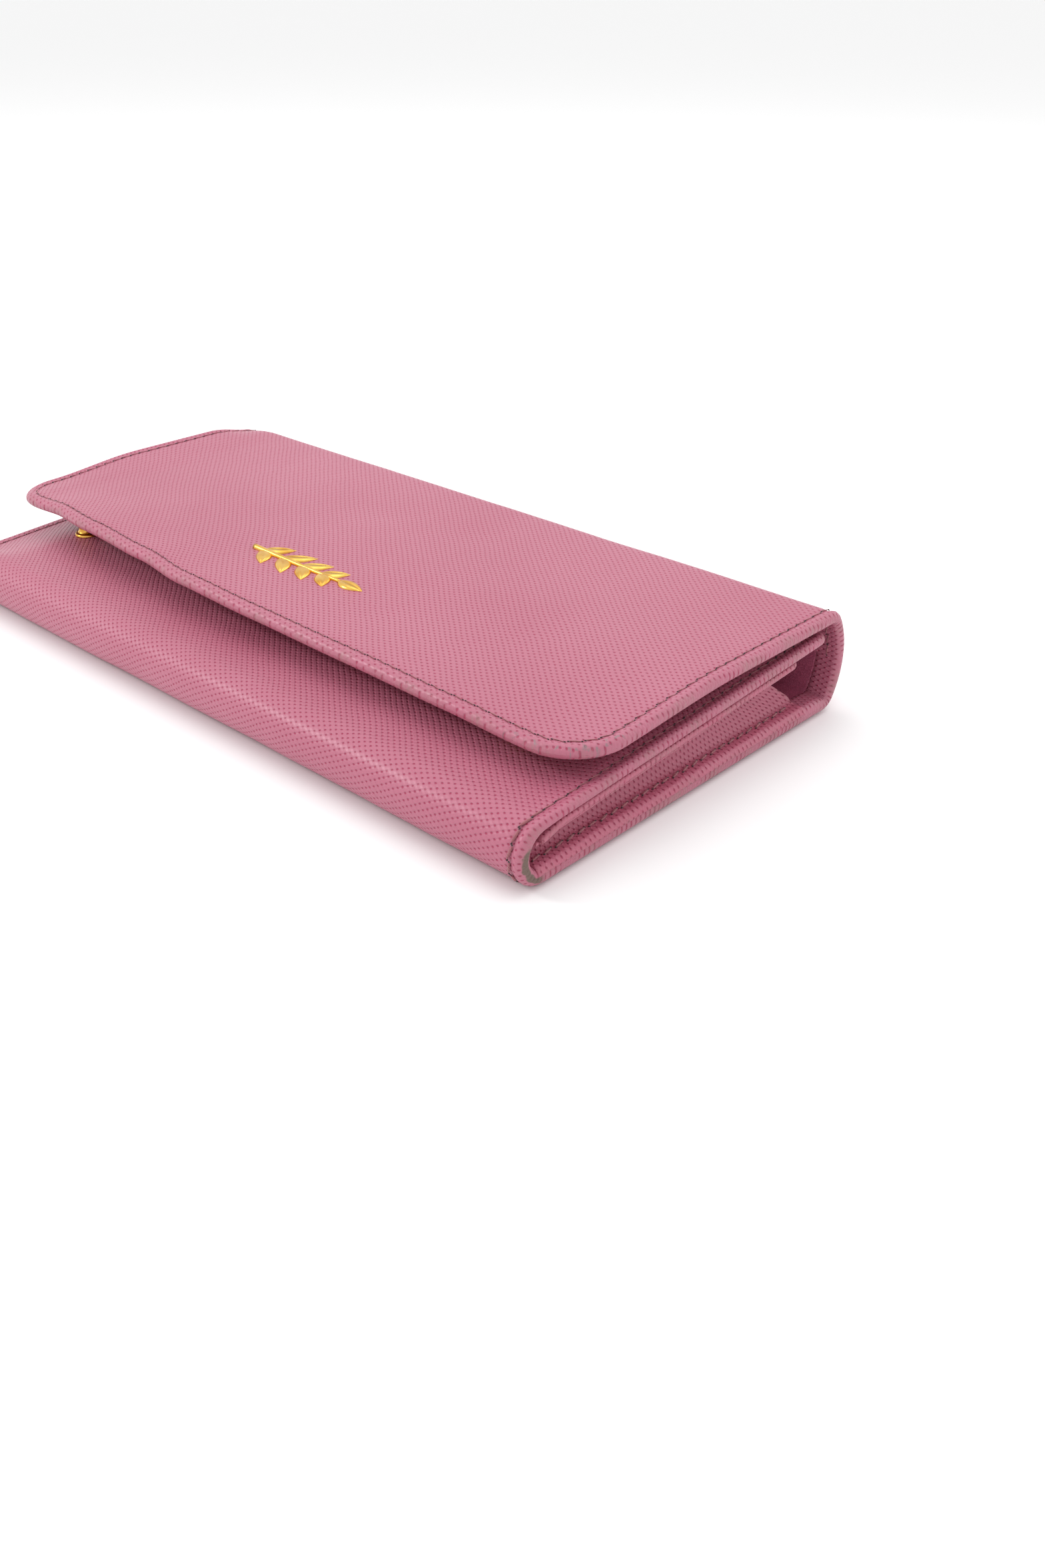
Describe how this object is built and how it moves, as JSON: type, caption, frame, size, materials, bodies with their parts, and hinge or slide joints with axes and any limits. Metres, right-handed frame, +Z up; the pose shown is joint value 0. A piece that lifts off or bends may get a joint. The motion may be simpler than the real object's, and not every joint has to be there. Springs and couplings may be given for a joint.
{
  "type": "long flap wallet",
  "caption": "Long leather wallet with a fold-over flap, bulged spine, pleated gussets, zip coin pocket and snap studs, lying on its back.",
  "frame": {"origin": "on the table under the middle of the wallet, which lies on its back", "axes": "X end to end, +Y to the spine, -Y to the front fold, +Z up through the flap"},
  "size_m": [0.19, 0.0965, 0.0229],
  "materials": {
    "cover_leather": "pink cross-grain embossed, satin",
    "inner_leather": "pink cross-grain embossed, satin",
    "lining": "plain woven twill",
    "interlining": "soft felt",
    "board": "pressed board",
    "zip_tape": "herringbone tape",
    "zip_metal": "polished",
    "gold_metal": "polished gold tone"
  },
  "bodies": {
    "back": {"back_cover": "cover_leather", "back_stiffener": "board", "back_lining": "lining", "card_panel": "lining", "card_leaf_left_1": "inner_leather", "card_leaf_left_2": "inner_leather", "card_leaf_left_3": "inner_leather", "card_leaf_left_4": "inner_leather", "card_leaf_right_1": "inner_leather", "card_leaf_right_2": "inner_leather", "card_leaf_right_3": "inner_leather", "card_leaf_right_4": "inner_leather", "gusset_left": "inner_leather", "gusset_right": "inner_leather"},
    "spine": {"spine_cover": "cover_leather", "spine_interlining": "interlining", "spine_lining": "lining"},
    "flap": {"flap_cover": "cover_leather", "flap_stiffener": "board", "flap_lining": "lining", "emblem": "gold_metal", "emblem_washers": "gold_metal", "snap_socket_left": "gold_metal", "snap_socket_right": "gold_metal", "socket_plates": "gold_metal"},
    "front": {"front_panel": "cover_leather", "front_lining": "lining", "coin_wall": "inner_leather", "coin_lining": "lining", "zip_tape_front": "zip_tape", "zip_tape_rear": "zip_tape", "zip_teeth_front": "zip_metal", "zip_teeth_rear": "zip_metal", "zip_stop_left": "zip_metal", "zip_stop_right": "zip_metal", "snap_stud_left": "gold_metal", "snap_stud_right": "gold_metal", "stud_plates": "gold_metal"},
    "zip_slider": {"slider_body": "zip_metal"},
    "pull_tab": {"pull_tab": "zip_metal"}
  },
  "joints": [
    {"name": "spine_fold", "type": "hinge", "parent": "back", "child": "spine", "pos_m": [0, 0.04593, 0.00232], "axis": [-1, 0, 0], "range_deg": [0, 90]},
    {"name": "flap_fold", "type": "hinge", "parent": "spine", "child": "flap", "pos_m": [0, 0.04593, 0.01948], "axis": [-1, 0, 0], "range_deg": [0, 90]},
    {"name": "front_open", "type": "hinge", "parent": "back", "child": "front", "pos_m": [0, -0.04205, 0.0062], "axis": [1, 0, 0], "range_deg": [0, 11.25], "deforming": ["gusset_right", "gusset_left"]},
    {"name": "zip_slide", "type": "slide", "parent": "front", "child": "zip_slider", "axis": [-1, 0, 0], "range_m": [0, 0.136]},
    {"name": "pull_swing", "type": "hinge", "parent": "zip_slider", "child": "pull_tab", "pos_m": [0.068, 0.01996, 0.01713], "axis": [0, -0.0663, 0.9978], "range_deg": [-90, 90]}
  ],
  "couplings": [
    {"joint": "front_open", "follows": "spine_fold", "ratio": 0.125}
  ]
}
